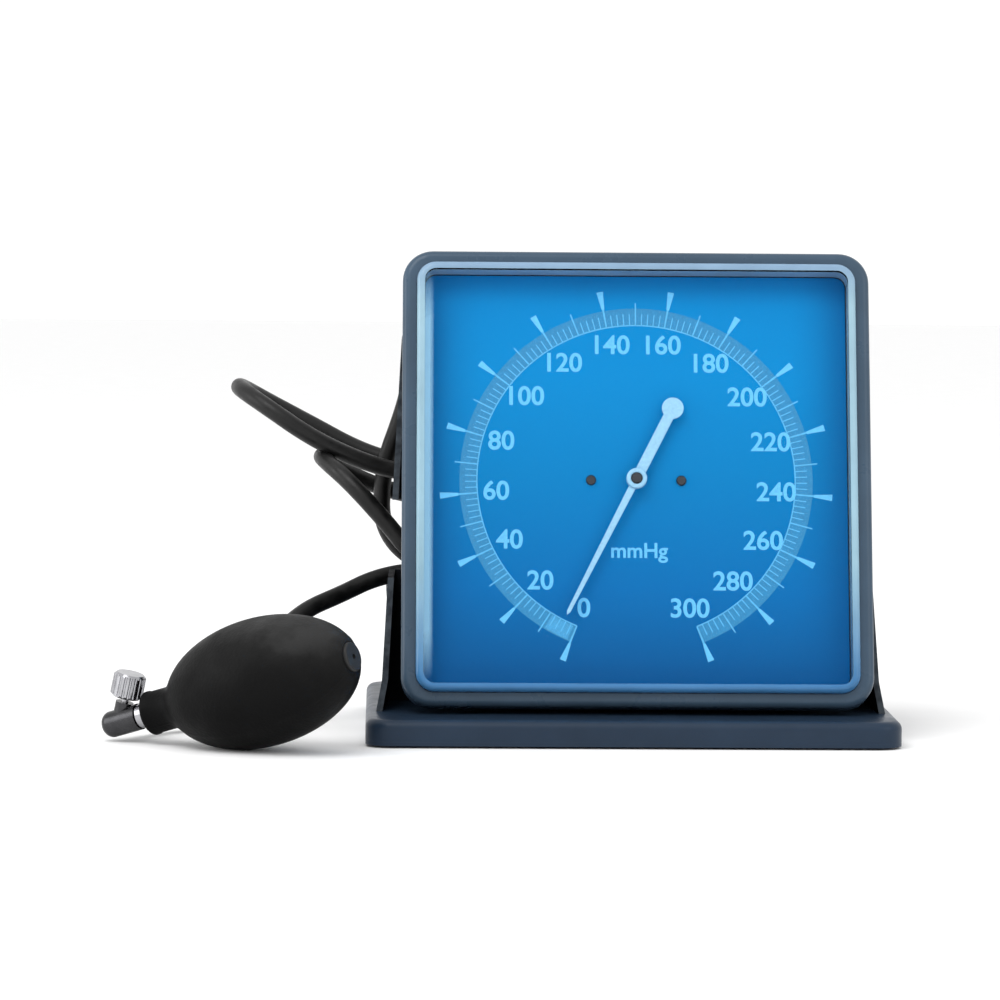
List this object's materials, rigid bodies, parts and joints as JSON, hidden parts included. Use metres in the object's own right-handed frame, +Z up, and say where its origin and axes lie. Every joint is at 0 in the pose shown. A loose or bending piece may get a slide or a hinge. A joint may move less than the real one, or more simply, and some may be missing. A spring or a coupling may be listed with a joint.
{
  "type": "desk aneroid sphygmomanometer",
  "caption": "Desk aneroid blood pressure gauge with a leaning square dial on a stand, cuff basket behind, rubber hoses and a squeeze bulb with release valve.",
  "frame": {"origin": "below the middle of the gauge and midway between the front and back of the base, on the surface that it stands on", "axes": "+X to the right seen from the front, +Y to the back, +Z up"},
  "size_m": [0.2819, 0.1834, 0.173],
  "materials": {
    "slate_case": "smooth satin moulding, slate blue",
    "slate_stand": "fine matt moulding, slate blue",
    "dark_stand": "fine matt moulding, near black slate",
    "clear_lens": "clear polished acrylic",
    "gasket_rubber": "soft black rubber",
    "pad_rubber": "soft black rubber",
    "dial_blue": "blue printed aluminium",
    "pointer_white": "white paint",
    "brass": "turned and stamped brass",
    "capsule_bronze": "pressed bronze sheet",
    "dark_steel": "blackened steel",
    "steel": "plain steel",
    "spring_steel": "blued strip",
    "chrome": "polished chrome plate",
    "valve_grey": "dark chrome plate",
    "bulb_rubber": "moulded black rubber, faint bloom",
    "hose_rubber": "smooth black rubber tube",
    "valve_rubber": "thin valve rubber",
    "valve_plastic": "black moulding",
    "cuff_fabric": "woven nylon, dark blue",
    "bladder_rubber": "black sheet rubber"
  },
  "bodies": {
    "instrument": {"back_plate": "brass", "base_plate": "slate_case", "base_screws": "steel", "bezel": "slate_case", "bladder": "bladder_rubber", "bulb": "bulb_rubber", "bulb_hose": "hose_rubber", "capsule_back": "capsule_bronze", "capsule_front": "capsule_bronze", "case_screws": "steel", "cuff": "cuff_fabric", "cuff_basket": "slate_stand", "cuff_ports": "hose_rubber", "dial_plate": "dial_blue", "dial_screws": "dark_steel", "front_plate": "brass", "gauge_hose": "hose_rubber", "hairspring": "spring_steel", "housing": "slate_stand", "inlet_retainer": "valve_plastic", "inlet_seat": "valve_plastic", "inlet_stem": "brass", "lens": "clear_lens", "lens_gasket": "gasket_rubber", "mount_screws": "steel", "pillar_screws": "steel", "pillars": "brass", "rest_pads": "pad_rubber", "stem_nut": "brass", "tower": "dark_stand", "valve_body": "valve_grey", "valve_collar": "chrome"},
    "pointer_set": {"pinion_staff": "steel", "pointer": "pointer_white", "pointer_bush": "dark_steel"},
    "sector": {"sector_gear": "brass"},
    "rocker_arm": {"rocker": "brass"},
    "stud": {"capsule_stud": "brass"},
    "needle": {"release_needle": "steel"},
    "knob": {"release_knob": "chrome"},
    "inlet_flap": {"inlet_disc": "valve_rubber"}
  },
  "joints": [
    {"name": "pointer_turn", "type": "hinge", "parent": "instrument", "child": "pointer_set", "pos_m": [0, -0.02456, 0.09158], "axis": [0, -0.9659, 0.2588], "range_deg": [-311, 0], "stiffness_Nm_per_rad": 0.004},
    {"name": "sector_swing", "type": "hinge", "parent": "instrument", "child": "sector", "pos_m": [0, -0.02349, 0.07473], "axis": [0, -0.9659, 0.2588], "range_deg": [0, 31.1]},
    {"name": "rocker_swing", "type": "hinge", "parent": "instrument", "child": "rocker_arm", "pos_m": [0.009, -0.0166, 0.07185], "axis": [1, 0, 0], "range_deg": [-15.55, 0]},
    {"name": "stud_lift", "type": "slide", "parent": "instrument", "child": "stud", "axis": [0, -0.9659, 0.2588], "range_m": [0, 0.0023]},
    {"name": "needle_slide", "type": "slide", "parent": "instrument", "child": "needle", "axis": [0.2042, -0.1132, 0.9724], "range_m": [0, 0.0014]},
    {"name": "knob_turn", "type": "hinge", "parent": "needle", "child": "knob", "pos_m": [-0.18274, -0.05388, 0.00694], "axis": [0.2042, -0.1132, 0.9724], "range_deg": [0, 720]},
    {"name": "inlet_lift", "type": "slide", "parent": "instrument", "child": "inlet_flap", "axis": [-0.8386, 0.4648, -0.284], "range_m": [0, 0.001]}
  ],
  "couplings": [
    {"joint": "sector_swing", "follows": "pointer_turn", "ratio": -0.1},
    {"joint": "rocker_swing", "follows": "pointer_turn", "ratio": 0.05},
    {"joint": "stud_lift", "follows": "pointer_turn", "m_per_rad": -0.0004237},
    {"joint": "knob_turn", "follows": "needle_slide", "rad_per_m": 8976}
  ]
}
